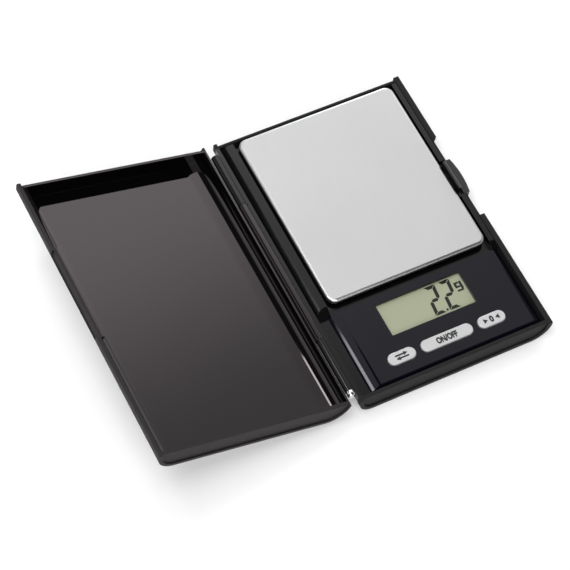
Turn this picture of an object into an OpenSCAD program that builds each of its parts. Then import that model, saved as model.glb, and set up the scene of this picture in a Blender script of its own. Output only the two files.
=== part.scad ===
/* [Case] */
// Width of the closed case from the hinge side to the latch side, without the hinge barrel
body_w = 84.2; // [82:0.2:104]
// Length of the case along the hinge, over the projecting skin edges
body_l = 127.4; // [124:0.2:156]
// Height of the base half from its underside to the parting line
base_h = 9.4; // [9.2:0.1:12]
// Height of the cover half from the parting line to its outside face
cover_h = 9.2; // [8.6:0.1:12]
// Thickness of the floor of the base
wall = 1.8; // [1.6:0.1:2.2]
// Thickness of the base wall along the hinge
hinge_wall = 1.4; // [1.2:0.1:1.8]
// Thickness of the base wall along the latch side
latch_wall = 2.2; // [1.8:0.1:2.4]
// Thickness of the cover's hollowed wall along the hinge, at its rim
cove_wall = 0.8; // [0.6:0.1:1.2]
// Thickness of the cover's broad face
roof_t = 1.4; // [1:0.1:1.8]
// Corner radius of the base along the hinge side
base_hinge_r = 6.5; // [5:0.1:7.5]
// Corner radius of the base along the latch side
base_latch_r = 8.5; // [7:0.1:9]
// Corner radius of the cover along the hinge side
cover_hinge_r = 8.5; // [6:0.1:8.6]
// Corner radius of the cover along its free side
cover_free_r = 9.0; // [6:0.1:9.1]
// Thickness of the cover's free side wall
free_wall = 1.5; // [1.2:0.1:2]
// How much narrower the cover is than the base along its free side
cover_step = 0.4; // [0:0.1:0.8]
// Thickness of the end walls away from the user
end_t = 1.0; // [0.8:0.1:1.4]
// How far the skin projects past the end walls away from the user
end_inset = 1.2; // [0.8:0.1:2]
// How far the skin projects past the end walls nearest the user
near_inset = 0.65; // [0.4:0.05:1.2]
// Gap between the two halves when shut
part_gap = 0.2; // [0.1:0.05:0.3]

/* [Hinge] */
// Angle to which the cover stands open
open_angle = 163.6; // [90:0.1:175]
// Distance of the hinge axis outside the case wall
hinge_out = 2.1; // [2:0.1:3]
// Radius of the hinge barrel
barrel_r = 1.75; // [1.5:0.05:1.9]
// Radius of the hinge pin
pin_r = 1.0; // [0.7:0.05:1.1]
// Running clearance of the pin in the knuckles
pin_clear = 0.05; // [0.02:0.01:0.08]
// Gap between neighbouring knuckles
knuckle_gap = 0.3; // [0.2:0.05:0.5]
// Distance from the end of the skin to the end of the barrel
barrel_inset = 5.8; // [5:0.1:8]
// Length of the base knuckle at the display end
near_knuckle = 23.8; // [10:0.1:30]
// Length of the base knuckle at the platform end
far_knuckle = 25.0; // [8:0.1:30]
// Radius of the domed head of the pin
head_r = 1.6; // [1.3:0.05:1.7]
// Length of the domed head of the pin
head_l = 2.6; // [2:0.1:4]

/* [Platform] */
// Width of the weighing platform
plat_w = 70; // [60:0.5:72]
// Length of the weighing platform
plat_l = 82.2; // [70:0.1:84]
// Corner radius of the platform
plat_r = 3.8; // [2:0.1:6]
// Height of the platform above the parting line
plat_proud = 0.9; // [0.8:0.1:2]
// Sheet thickness of the platform pan
pan_t = 0.6; // [0.4:0.1:0.8]
// Depth of the pan with its folded skirt
pan_h = 1.8; // [1.4:0.1:2]
// Thickness of the carrier under the pan
carrier_t = 1.6; // [1.4:0.1:2]
// Offset of the platform and display from the middle of the case, towards the latch
top_x = 1.5; // [1:0.1:2.5]
// Gap between the platform's far edge and the end wall
far_gap = 0.65; // [0.5:0.05:2]
// Groove between the platform and the deck on the hinge side
groove = 1.2; // [0.8:0.1:1.6]
// Travel of the platform to its overload stops
plat_travel = 0.4; // [0.2:0.05:0.5]

/* [Load cell] */
// Length of the bending beam
beam_l = 45; // [40:1:50]
// Width of the bending beam
beam_w = 9; // [8:0.5:12]
// Height of the bending beam
beam_h = 5; // [4.5:0.1:5.2]
// Radius of the two holes that thin the beam
beam_hole_r = 1.7; // [1.2:0.1:1.9]
// Distance between those two holes
beam_hole_pitch = 8; // [6:0.5:10]
// Radius of the beam's screws
beam_screw_r = 1.25; // [1:0.05:1.5]
// Distance between the two screws at one end of the beam
beam_screw_pitch = 7; // [6:0.5:8]

/* [Display] */
// Width of the display panel
panel_w = 75; // [72:0.5:76]
// Length of the display panel
panel_l = 35.8; // [33:0.1:36]
// Thickness of the display panel
panel_t = 1.4; // [1:0.1:1.6]
// Width of the rounded edge along the panel's side at the hinge
panel_roll_hinge = 5.0; // [2:0.1:6]
// Width of the rounded edge along the panel's side at the latch
panel_roll_latch = 2.4; // [1:0.1:3]
// Drop of those rounded edges, and radius of the panel's near edge
panel_roll_drop = 1.2; // [0.6:0.05:1.3]
// Depth of the panel's face below the parting line
panel_drop = 1.5; // [1.2:0.1:2]
// Trough between the panel and the near end wall
trough = 1.0; // [0.8:0.1:1.6]
// Width of the LCD window
window_w = 37.2; // [30:0.1:40]
// Length of the LCD window
window_l = 14.8; // [12:0.1:16]
// Distance of the window's centre from the panel's far edge
window_y = 10.5; // [9:0.1:12]
// Thickness of the liquid crystal cell
lcd_t = 1.6; // [1.2:0.1:1.8]
// Margin of the liquid crystal cell round the window
lcd_margin = 1.7; // [1.2:0.1:1.9]

/* [Keys] */
// Length of the two small keys
small_key_l = 11.8; // [9:0.1:12.4]
// Length of the middle key
wide_key_l = 22.5; // [18:0.1:23]
// Width of every key
key_w = 5.2; // [4:0.1:6]
// Distance between neighbouring key centres
key_pitch = 19.75; // [19.5:0.05:20.5]
// Distance of the keys from the panel's near edge
key_y = 8.4; // [7.6:0.1:9]
// Height of a key above the panel
key_proud = 0.7; // [0.6:0.1:1]
// Travel of a key
key_travel = 0.6; // [0.3:0.1:0.7]
// Clearance between a key and its slot
key_clear = 0.25; // [0.2:0.05:0.35]

/* [Latch] */
// Distance of the latch from the middle of the case, towards the platform end
latch_y = 11; // [0:0.5:16]
// Length of the finger recess in both halves
recess_l = 40; // [32:1:44]
// Depth of the finger recess from the parting line
recess_h = 3.5; // [3.2:0.1:3.8]
// Length of the thumb tab
tab_l = 16.8; // [12:0.2:20]
// How far the middle of the tab stands out of the case
tab_proud = 0.7; // [0.4:0.1:1]
// How much lower the ends of the tab's curve lie than its middle
tab_crown = 0.9; // [0.6:0.1:1.2]
// Length of the hook
hook_l = 13.7; // [10:0.1:14]
// Travel of the latch
latch_travel = 0.9; // [0.7:0.05:1]

/* [Battery] */
// Diameter of a coin cell
cell_d = 20; // [16:0.5:20]
// Thickness of a coin cell
cell_t = 3.2; // [2.5:0.1:3.2]
// Distance of the cell row from the platform's centre line, towards the hinge
cell_x = 18; // [17:0.5:19]
// Thickness of the battery door
door_t = 1.25; // [1:0.05:1.3]

/* [Details] */
// Thickness of the circuit board
board_t = 1.0; // [0.8:0.1:1.2]
// Radius of a foot
foot_r = 2.8; // [2:0.1:3]
// How far the feet stand out of the underside
foot_proud = 0.5; // [0.4:0.1:1]
// Running clearance of sliding pieces
slide_clear = 0.15; // [0.1:0.05:0.2]

/* [Hidden] */
$fn = 48;
eps = 0.01;

// Heights, counted from the surface the feet stand on
z_under = foot_proud;
z_floor = z_under + wall;
z_part = z_under + base_h;
z_rim = z_part - part_gap / 2;
z_plat = z_part + plat_proud;
z_panel = z_part - panel_drop;
z_ledge = z_panel - panel_t;
ledge_t = 1.0;
zebra_h = 1.5;
z_board = z_ledge - lcd_t - zebra_h - board_t;
z_board_top = z_board + board_t;
z_carrier_top = z_plat - pan_t;
z_carrier = z_carrier_top - carrier_t;
carrier_boss_h = 0.7;
z_beam_top = z_carrier - carrier_boss_h;
z_beam = z_beam_top - beam_h;
z_stop = z_carrier - plat_travel - 0.05;
z_cover_rim = z_part + part_gap / 2;
z_cover_top = z_part + cover_h;
z_roof = z_cover_top - roof_t;
cove_r = z_roof - z_cover_rim;

// Plan of the case, counted from its middle
half_w = body_w / 2;
half_l = body_l / 2;
end_out = half_l - end_inset;
end_in = end_out - end_t;
hinge_x = -half_w - hinge_out;
seam = 0.35;
hinge_seam = 0.8;
latch_groove = 1.0;
deck_left = -half_w + hinge_wall + hinge_seam;
deck_right = half_w - latch_wall - seam;
plat_far = end_in - far_gap;
plat_near = plat_far - plat_l;
plat_y = plat_far - plat_l / 2;
shoulder_w = 4.0;
shoulder_drop = 1.26;
shoulder_r = (shoulder_w * shoulder_w + shoulder_drop * shoulder_drop) / (2 * shoulder_drop);
z_shoulder = z_rim - shoulder_drop;
slope_flat = 1.2;
slope_l = 2.2;
plat_left = top_x - plat_w / 2;
plat_right = top_x + plat_w / 2;
panel_near = -end_in + trough;
panel_far = panel_near + panel_l;
panel_left = top_x - panel_w / 2;
window_cy = panel_far - window_y;

// The opened case is centred on the origin, feet on the plane below it
open_in = 180 - open_angle;
open_reach = (body_w - cover_step + hinge_out - cover_free_r) * cos(open_in)
    + (cover_h - cover_free_r) * sin(open_in) + cover_free_r;
x_low = hinge_x - open_reach;
x_high = half_w + tab_proud;
origin_x = (x_low + x_high) / 2;

// Screw and foot places
screw_r = 1.0;
screw_clear = 0.05;
screw_head_r = 1.8;
screw_head_t = 1.0;
screw_y = end_in - 4;
screw_left = -half_w + hinge_wall + base_hinge_r + 0.4;
screw_right = half_w - base_latch_r - 0.6;
screw_places = [for (x = [screw_left, screw_right], y = [-screw_y, screw_y]) [x, y]];
boss_r = 2.2;
boss_top = z_floor + 1.5;
foot_t = 0.9;
foot_left = screw_left + 2.1;
foot_right = screw_right - 2;
foot_y = screw_y - 7.5;
foot_places = [for (x = [foot_left, foot_right], y = [-foot_y, foot_y]) [x, y]];
z_head = z_floor - 0.4;
head_room = 0.2;
z_screw_tip = z_ledge - 0.7;

// Beam and its screws
beam_near = plat_y - beam_l / 2;
beam_far = plat_y + beam_l / 2;
beam_edge = 4;
fixed_screws = [for (i = [0, 1]) beam_far - beam_edge - i * beam_screw_pitch];
free_screws = [for (i = [0, 1]) beam_near + beam_edge + i * beam_screw_pitch];
beam_head_r = 2.3;
beam_head_t = 1.0;
beam_screw_l = 4.6;
pad_l = beam_edge * 2 + beam_screw_pitch;
gauge_t = 0.15;
gauge_l = 6;
gauge_w = 5;

// Battery box under the platform
cell_r = cell_d / 2;
cell_gap = 0.3;
box_half = cell_r + cell_gap;
box_x = top_x - cell_x;
box_wall = 1.0;
cell_pitch = cell_d + 1.2;
cell_far = end_in - cell_gap - cell_r;
cell_near = cell_far - cell_pitch;
box_near = cell_near - box_half;
z_door_top = z_under + door_t;
z_cell = z_door_top + 0.1;
contact_t = 0.3;
z_box_roof = z_cell + cell_t + contact_t;
box_roof_t = 0.65;
tongue_w = 0.8;
tongue_t = 0.6;
leaf_half_w = 4;
leaf_half_l = 3;

// Circuit board
board_w = 56;
board_far = panel_far - 1.7;
lcd_w = window_w + 2 * lcd_margin + 0.4;
lcd_l = window_l + 2 * lcd_margin;
dome_r = 2;
dome_shut = 0.7;
dome_h = dome_shut + key_travel;
z_key_foot = z_board_top + dome_h;
flange_t = 0.7;
flange_w = 0.6;
z_flange = z_ledge - 0.1 - flange_t;
// The keys stay clear of the liquid crystal cell on a short panel
key_reach = key_w / 2 + flange_w;
keys_y = min(panel_near + key_y, window_cy - lcd_l / 2 - key_reach - 0.3);
board_near = keys_y - 6.3;

// Latch
rib_in = half_w - 3.5;
rib_t = 2.1;
rib_extra = 1;
hook_x = rib_in - 1.1;
hook_t = 0.8;
nose = 0.8;
z_latch = z_ledge + 0.05;
latch_body_t = 1.05;
z_nose = z_part + 1.4;
nose_h = 1.0;
tab_in = rib_in + 0.8;
z_tab_top = z_part - 0.3;
stem_in = plat_right - 1.5;
stem_t = 1.4;
stem_l = 8;
z_stem = z_floor + 0.7;
spring_r = 1.3;
spring_wire = 0.25;
spring_turns = 5;
spring_l = 5.4;
z_spring = (z_stem + z_ledge - ledge_t) / 2;

// Shapes used by several pieces
module rounded_rect(w, l, r) {
    square([w - 2 * r, l], center = true);
    square([w, l - 2 * r], center = true);
    for (x = [-1, 1], y = [-1, 1])
        translate([x * (w / 2 - r), y * (l / 2 - r)])
            circle(r);
}

module pill(l, w) {
    square([l - w, w], center = true);
    for (x = [-1, 1])
        translate([x * (l - w) / 2, 0])
            circle(w / 2);
}

module plate(z, t) {
    translate([0, 0, z])
        linear_extrude(t)
            children();
}

// A flat shape drawn in x and z, drawn out along y between two places
module along_y(y1, y2) {
    translate([0, y2, 0])
        rotate([90, 0, 0])
            linear_extrude(y2 - y1)
                children();
}

module block(x1, x2, y1, y2, z1, z2) {
    translate([x1, y1, z1])
        cube([x2 - x1, y2 - y1, z2 - z1]);
}

module post(x, y, z1, z2, r) {
    translate([x, y, z1])
        cylinder(h = z2 - z1, r = r);
}

// Section of one half of the case: flat below, open above, its two lower corners rounded
module trough_section(x1, x2, z1, z2, r_left, r_right) {
    translate([x1 + r_left, z1])
        square([x2 - x1 - r_left - r_right, z2 - z1]);
    translate([x1, z1 + r_left])
        square([r_left, z2 - z1 - r_left]);
    translate([x2 - r_right, z1 + r_right])
        square([r_right, z2 - z1 - r_right]);
    translate([x1 + r_left, z1 + r_left])
        circle(r_left, $fn = 96);
    translate([x2 - r_right, z1 + r_right])
        circle(r_right, $fn = 96);
}

module base_section(left, right, floor_t, z_top) {
    intersection() {
        trough_section(-half_w + left, half_w - right, z_under + floor_t, z_top + base_h,
            base_hinge_r - left, base_latch_r - right);
        translate([-body_w, 0])
            square([2 * body_w, z_top]);
    }
}

module cover_section(left, right, roof, r_left, r_right, z_bottom) {
    intersection() {
        translate([0, z_cover_top - roof])
            mirror([0, 1])
                trough_section(-half_w + left, half_w - right, 0, 2 * cover_h, r_left, r_right);
        translate([-body_w, z_bottom])
            square([2 * body_w, 2 * cover_h]);
    }
}

module knuckle(y1, y2) {
    translate([hinge_x, y2, z_part])
        rotate([90, 0, 0])
            cylinder(h = y2 - y1, r = barrel_r);
}

module knuckle_bore() {
    translate([hinge_x, body_l, z_part])
        rotate([90, 0, 0])
            cylinder(h = 2 * body_l, r = pin_r + pin_clear);
}

// The cover is drawn shut and turned open about the hinge axis
module opened() {
    translate([hinge_x, 0, z_part])
        rotate([0, -open_angle, 0])
            translate([-hinge_x, 0, -z_part])
                children();
}

module placed() {
    translate([-origin_x, 0, 0])
        children();
}

knuckle_near = -half_l + barrel_inset;
knuckle_far = half_l - barrel_inset;
split_near = knuckle_near + near_knuckle;
split_far = knuckle_far - far_knuckle;
web_in = half_w - cove_wall / 2;
end_spans = [[near_inset - half_l, -end_in], [end_in, end_out]];

// Base half
module base_skin() {
    difference() {
        along_y(-half_l, half_l)
            base_section(0, 0, 0, z_rim);
        along_y(-body_l, body_l)
            base_section(hinge_wall, latch_wall, wall, body_w);
        // Finger recess in the latch side
        block(tab_in, body_w, latch_y - recess_l / 2, latch_y + recess_l / 2,
            z_part - recess_h, body_w);
    }
}

module base_ends() {
    for (span = end_spans)
        along_y(span[0], span[1])
            base_section(hinge_wall / 2, latch_wall / 2, wall / 2, z_rim);
}

module base_knuckles() {
    for (span = [[knuckle_near, split_near], [split_far + knuckle_gap, knuckle_far]]) {
        knuckle(span[0], span[1]);
        block(hinge_x, -web_in, span[0], span[1], z_part - barrel_r, z_rim);
    }
}

// Walls and roof round the two coin cells
module battery_box() {
    difference() {
        block(box_x - box_half - box_wall, box_x + box_half + box_wall, box_near - box_wall, end_in + eps,
            z_floor - eps, z_box_roof + box_roof_t);
        block(box_x - box_half, box_x + box_half, box_near, cell_near + box_half, 0, z_box_roof);
        block(box_x - box_half, box_x + box_half, cell_far - box_half, end_in + 2 * eps, 0, z_box_roof);
    }
}

module door_channel() {
    block(box_x - box_half, box_x + box_half, box_near, end_in, -eps, z_floor + eps);
    block(box_x - box_half, box_x + box_half, end_in - eps, body_l, -eps, z_door_top + slide_clear / 2);
    block(box_x - box_half - tongue_w - slide_clear, box_x + box_half + tongue_w + slide_clear,
        box_near, body_l, z_door_top - tongue_t - slide_clear / 2, z_door_top + slide_clear / 2);
}

module base_shell() {
    rest_inset = 3;
    rest_r = 1.5;
    stop_in = 3.2;
    stop_end = 12;
    stop_r = 1.2;
    wall_t = 1.5;
    hole_room = 0.1;
    color("#141415")
    placed()
        difference() {
            union() {
                base_skin();
                base_ends();
                base_knuckles();
                battery_box();
                // Screw bosses, board rests, overload posts, beam pad and spring stop
                for (p = screw_places)
                    post(p[0], p[1], z_floor - eps, boss_top, boss_r);
                for (x = [-1, 1], y = [board_near + rest_inset, board_far - rest_inset])
                    post(top_x + x * (board_w / 2 - rest_inset), y, z_floor - eps, z_board, rest_r);
                for (x = [-1, 1], y = [-1, 1])
                    post(top_x + x * (plat_w / 2 - stop_in), plat_y + y * (plat_l / 2 - stop_end),
                        z_floor - eps, z_stop, stop_r);
                block(top_x - beam_w / 2, top_x + beam_w / 2, beam_far - pad_l, beam_far,
                    z_floor - eps, z_beam);
                block(stem_in - spring_l - wall_t, stem_in - spring_l, latch_y - 2 * wall_t,
                    latch_y + 2 * wall_t, z_floor - eps, z_ledge - ledge_t - hole_room);
            }
            knuckle_bore();
            door_channel();
            for (p = screw_places) {
                post(p[0], p[1], -eps, z_head, screw_head_r + head_room);
                post(p[0], p[1], 0, boss_top + eps, screw_r + screw_clear + hole_room);
            }
            for (y = fixed_screws) {
                post(top_x, y, -eps, z_head, beam_head_r + head_room);
                post(top_x, y, 0, z_beam + eps, beam_screw_r + hole_room);
            }
            for (p = foot_places)
                post(p[0], p[1], -eps, foot_t, foot_r + hole_room);
        }
}

// Strips of deck on both sides of the platform, sloping down to the panel at their near ends
module deck_strips() {
    near_end = panel_far + seam / 2;
    difference() {
        union() {
            block(deck_left, plat_left - groove, near_end, end_in - seam, z_ledge - eps, z_rim);
            block(plat_right + latch_groove, deck_right, near_end, end_in - seam, z_ledge - eps, z_rim);
            block(deck_left, panel_left - seam / 2, -end_in + seam, panel_far, z_ledge - eps, z_panel - seam);
        }
        // Rounded shoulder along the hinge side
        difference() {
            block(deck_left - wall, deck_left + shoulder_w, -body_l, body_l, z_shoulder, body_w);
            translate([deck_left + shoulder_w, body_l, z_rim - shoulder_r])
                rotate([90, 0, 0])
                    cylinder(h = 2 * body_l, r = shoulder_r, $fn = 192);
        }
        translate([0, panel_far + slope_flat, z_panel])
            rotate([atan((z_rim - z_panel) / slope_l), 0, 0])
                translate([-body_w, -body_w, 0])
                    cube([2 * body_w, 2 * body_w, body_w]);
        // Way for the latch through the strip
        block(plat_right, body_w, latch_y - tab_l / 2 - 2 * slide_clear, latch_y + tab_l / 2 + 2 * slide_clear,
            z_ledge, body_w);
    }
}

module top_housing() {
    rim_left = 1.6;
    rim_right = 1.7;
    rim_near = 3.8;
    rim_far = 2;
    cell_room = 0.2;
    tip_room = 0.3;
    color("#17171a")
    placed()
        difference() {
            intersection() {
                union() {
                    block(deck_left, deck_right, -end_in + seam, end_in - seam, z_ledge - ledge_t, z_ledge);
                    deck_strips();
                    for (p = screw_places)
                        post(p[0], p[1], boss_top, z_ledge, boss_r);
                }
                along_y(-end_in, end_in)
                    base_section(hinge_wall + seam, latch_wall + seam, wall, body_w);
            }
            // Opening under the platform, with a bridge left round the latch stem
            difference() {
                block(plat_left + rim_left, plat_right - rim_right, plat_near + rim_near,
                    plat_far - rim_far, z_ledge - ledge_t - eps, z_ledge + eps);
                block(stem_in - latch_travel - rim_left, body_w, latch_y - stem_l / 2 - rim_far,
                    latch_y + stem_l / 2 + rim_far, 0, body_w);
                for (p = screw_places)
                    post(p[0], p[1], 0, body_w, boss_r);
            }
            block(stem_in - latch_travel - slide_clear, stem_in + stem_t + slide_clear / 2,
                latch_y - stem_l / 2 - slide_clear, latch_y + stem_l / 2 + slide_clear, 0, body_w);
            // Openings for the liquid crystal cell and the key flanges
            translate([top_x, window_cy, 0])
                plate(z_ledge - ledge_t - eps, ledge_t + 2 * eps)
                    square([lcd_w + 2 * cell_room, lcd_l + 2 * cell_room], center = true);
            for (k = key_places)
                translate([k[0], keys_y, 0])
                    plate(z_ledge - ledge_t - eps, ledge_t + 2 * eps)
                        pill(k[1] + 2 * flange_w + 2 * key_clear, key_w + 2 * flange_w + 2 * key_clear);
            for (p = screw_places)
                post(p[0], p[1], 0, z_screw_tip + tip_room, screw_r + screw_clear);
        }
}

// Centre and length of the three keys
key_places = [[top_x - key_pitch, small_key_l], [top_x, wide_key_l], [top_x + key_pitch, small_key_l]];

// Radius of an edge that rolls off over a given width
function roll_r(w) = (w * w + panel_roll_drop * panel_roll_drop) / (2 * panel_roll_drop);

// Section across the panel: both sides roll off, the underside is flat
module panel_section() {
    flat_left = panel_left + panel_roll_hinge;
    flat_right = panel_left + panel_w - panel_roll_latch;
    intersection() {
        translate([panel_left, z_ledge])
            square([panel_w, panel_t]);
        union() {
            translate([flat_left, 0])
                square([flat_right - flat_left, body_w]);
            for (roll = [[flat_left, panel_roll_hinge], [flat_right, panel_roll_latch]])
                translate([roll[0], z_panel - roll_r(roll[1])])
                    circle(roll_r(roll[1]), $fn = 192);
        }
    }
}

module display_panel() {
    near_r = panel_roll_drop;
    window_r = 0.5;
    color("#26262c")
    placed()
        difference() {
            along_y(panel_near, panel_far)
                panel_section();
            // Rounded edge on the side nearest the user
            difference() {
                block(-body_w, body_w, panel_near - near_r, panel_near + near_r, z_panel - near_r, body_w);
                translate([-body_w, panel_near + near_r, z_panel - near_r])
                    rotate([0, 90, 0])
                        cylinder(h = 2 * body_w, r = near_r, $fn = 96);
            }
            translate([top_x, window_cy, 0])
                plate(0, body_w)
                    rounded_rect(window_w, window_l, window_r);
            for (k = key_places)
                translate([k[0], keys_y, 0])
                    plate(0, body_w)
                        pill(k[1] + 2 * key_clear, key_w + 2 * key_clear);
        }
}

module lcd_glass() {
    color("#aab092")
    placed()
        translate([top_x, window_cy, 0])
            plate(z_ledge - lcd_t, lcd_t)
                square([lcd_w, lcd_l], center = true);
}

module zebra_strips() {
    strip_w = 1.5;
    strip_in = 1.3;
    strip_end = 1;
    color("#3a3a3c")
    placed()
        for (side = [-1, 1])
            translate([top_x, window_cy + side * (lcd_l / 2 - strip_in), 0])
                plate(z_board_top, zebra_h)
                    square([lcd_w - 2 * strip_end, strip_w], center = true);
}

module circuit_board() {
    color("#1f5a34")
    placed()
        block(top_x - board_w / 2, top_x + board_w / 2, board_near, board_far, z_board, z_board_top);
}

// Round drop of epoxy over the bonded controller, and the square converter chip
module board_chips() {
    drop_x = 4;
    drop_r = 3.6;
    drop_h = 0.9;
    chip_x = 8;
    chip_w = 5;
    chip_l = 4;
    chip_h = 1.2;
    color("#101012")
    placed() {
        post(top_x - drop_x, window_cy, z_board_top, z_board_top + drop_h, drop_r);
        block(top_x + chip_x, top_x + chip_x + chip_w, window_cy - chip_l / 2, window_cy + chip_l / 2,
            z_board_top, z_board_top + chip_h);
    }
}

module load_cell() {
    slot_h = 1;
    color("#c3c6c9")
    placed()
        difference() {
            block(top_x - beam_w / 2, top_x + beam_w / 2, beam_near, beam_far, z_beam, z_beam_top);
            for (side = [-1, 1])
                translate([top_x - beam_w, plat_y + side * beam_hole_pitch / 2, z_beam + beam_h / 2])
                    rotate([0, 90, 0])
                        cylinder(h = 2 * beam_w, r = beam_hole_r);
            block(top_x - beam_w, top_x + beam_w, plat_y - beam_hole_pitch / 2, plat_y + beam_hole_pitch / 2,
                z_beam + beam_h / 2 - slot_h / 2, z_beam + beam_h / 2 + slot_h / 2);
            for (y = concat(fixed_screws, free_screws))
                post(top_x, y, 0, body_w, beam_screw_r + screw_clear);
        }
}

module strain_gauges() {
    color("#c9a24a")
    placed()
        for (side = [-1, 1], z = [z_beam - gauge_t, z_beam_top])
            translate([top_x, plat_y + side * beam_hole_pitch / 2, z])
                linear_extrude(gauge_t)
                    square([gauge_w, gauge_l], center = true);
}

// Flat lead from the lower gauges, along the floor and up on to the board
ribbon_w = 3;
ribbon_t = 0.4;
z_ribbon = z_beam - gauge_t - ribbon_t;
ribbon_x = top_x + board_w / 2 - 5;
ribbon_y = plat_y - 9;
ribbon_pad = 4;

module gauge_ribbon() {
    color("#b8b4a8")
    placed() {
        block(top_x - ribbon_w / 2, ribbon_x + ribbon_w, ribbon_y, ribbon_y + ribbon_pad,
            z_ribbon, z_ribbon + ribbon_t);
        block(ribbon_x, ribbon_x + ribbon_w, board_far + ribbon_t, ribbon_y + eps,
            z_ribbon, z_ribbon + ribbon_t);
        block(ribbon_x, ribbon_x + ribbon_w, board_far, board_far + ribbon_t + eps,
            z_ribbon, z_board_top + ribbon_t);
        block(ribbon_x, ribbon_x + ribbon_w, board_far - ribbon_w, board_far + eps,
            z_board_top, z_board_top + ribbon_t);
    }
}

module beam_screws() {
    color("#9fa3a8")
    placed()
        for (y = fixed_screws) {
            post(top_x, y, z_head - beam_head_t, z_head, beam_head_r);
            post(top_x, y, z_head - eps, z_head + beam_screw_l, beam_screw_r);
        }
}

module carrier_screws() {
    color("#9fa3a8")
    placed()
        for (y = free_screws) {
            post(top_x, y, z_carrier_top - beam_head_t, z_carrier_top, beam_head_r);
            post(top_x, y, z_carrier_top - beam_head_t - beam_screw_l, z_carrier_top - beam_head_t + eps,
                beam_screw_r);
        }
}

module coin_cells() {
    cap_h = 0.3;
    cap_in = 1.2;
    color("#c8cbd0")
    placed()
        for (y = [cell_near, cell_far]) {
            post(box_x, y, z_cell, z_cell + cell_t - cap_h, cell_r);
            post(box_x, y, z_cell + cell_t - cap_h - eps, z_cell + cell_t, cell_r - cap_in);
        }
}

module negative_contacts() {
    color("#c9b26a")
    placed()
        for (y = [cell_near, cell_far])
            block(box_x - leaf_half_w, box_x + leaf_half_w, y - leaf_half_l, y + leaf_half_l,
                z_cell + cell_t, z_box_roof);
}

module positive_contacts() {
    leaf_in = 0.4;
    color("#c9b26a")
    placed()
        for (y = [cell_near, cell_far])
            block(box_x + cell_r, box_x + box_half, y - leaf_half_l, y + leaf_half_l,
                z_cell + leaf_in, z_cell + cell_t - leaf_in);
}

module battery_leads() {
    lead_r = 0.45;
    color("#8a1f1b")
    placed()
        for (x = [-1, 1])
            translate([box_x + x * leaf_half_w, box_near - box_wall, z_board + board_t / 2])
                rotate([90, 0, 0])
                    cylinder(h = box_near - box_wall - board_far, r = lead_r);
}

module case_screws() {
    color("#2c2d30")
    placed()
        for (p = screw_places) {
            post(p[0], p[1], z_head - screw_head_t, z_head, screw_head_r);
            post(p[0], p[1], z_head - eps, z_screw_tip, screw_r);
        }
}

module foot_pads() {
    color("#1b1b1b")
    placed()
        for (p = foot_places)
            post(p[0], p[1], 0, foot_t, foot_r);
}

module hinge_pin() {
    dome = head_r / 2;
    color("#d9dadc")
    placed()
        translate([hinge_x, knuckle_far, z_part])
            rotate([90, 0, 0]) {
                cylinder(h = knuckle_far - knuckle_near + eps, r = pin_r);
                // Head with a rounded end, against the knuckle at the display end
                translate([0, 0, knuckle_far - knuckle_near])
                    rotate_extrude() {
                        square([head_r, head_l - dome]);
                        square([head_r - dome, head_l]);
                        intersection() {
                            translate([head_r - dome, head_l - dome])
                                circle(dome);
                            square([head_r, head_l]);
                        }
                    }
            }
}

// Round wire spring between its stop on the floor and the latch stem
module latch_spring() {
    steps = 16;
    sides = 6;
    rings = spring_turns * steps;
    coil = [for (i = [0 : rings]) [
        stem_in - spring_l + spring_wire + (spring_l - 2 * spring_wire) * i / rings,
        latch_y + (spring_r - spring_wire) * cos(360 * i / steps),
        z_spring + (spring_r - spring_wire) * sin(360 * i / steps)
    ]];
    points = [for (i = [0 : rings], j = [0 : sides - 1])
        let (a = 360 * i / steps, b = 360 * j / sides)
        coil[i] + spring_wire * [sin(b), cos(b) * cos(a), cos(b) * sin(a)]];
    walls = [for (i = [0 : rings - 1], j = [0 : sides - 1], half = [0, 1])
        let (p = i * sides + j, q = i * sides + (j + 1) % sides)
        half == 0 ? [p, q, q + sides] : [p, q + sides, p + sides]];
    ends = [for (j = [1 : sides - 2], half = [0, 1])
        half == 0 ? [0, j + 1, j] : [rings * sides, rings * sides + j, rings * sides + j + 1]];
    color("#b9bcc0")
    placed()
        polyhedron(points = points, faces = concat(walls, ends));
}

module key_dome(k) {
    color("#5a5c60")
    placed()
        post(key_places[k][0], keys_y, z_board_top, z_key_foot, dome_r);
}

module unit_dome() {
    key_dome(0);
}

module power_dome() {
    key_dome(1);
}

module tare_dome() {
    key_dome(2);
}

// Cap in the panel's slot, flange below it, foot on the dome
module key_piece(k) {
    key_foot_r = 1.5;
    color("#cfd0d2")
    placed()
        translate([key_places[k][0], keys_y, 0]) {
            plate(z_flange, z_panel + key_proud - z_flange)
                pill(key_places[k][1], key_w);
            plate(z_flange, flange_t)
                pill(key_places[k][1] + 2 * flange_w, key_w + 2 * flange_w);
            post(0, 0, z_key_foot, z_flange + eps, key_foot_r);
        }
}

module unit_key() {
    key_piece(0);
}

module power_key() {
    key_piece(1);
}

module tare_key() {
    key_piece(2);
}

// Pressed pan: a flat sheet with a folded skirt
module platform_plate() {
    color("#d3d5d7")
    placed()
        translate([top_x, plat_y, 0])
            difference() {
                plate(z_plat - pan_h, pan_h)
                    rounded_rect(plat_w, plat_l, plat_r);
                plate(z_plat - pan_h - eps, pan_h - pan_t + eps)
                    rounded_rect(plat_w - 2 * pan_t, plat_l - 2 * pan_t, plat_r - pan_t);
            }
}

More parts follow.
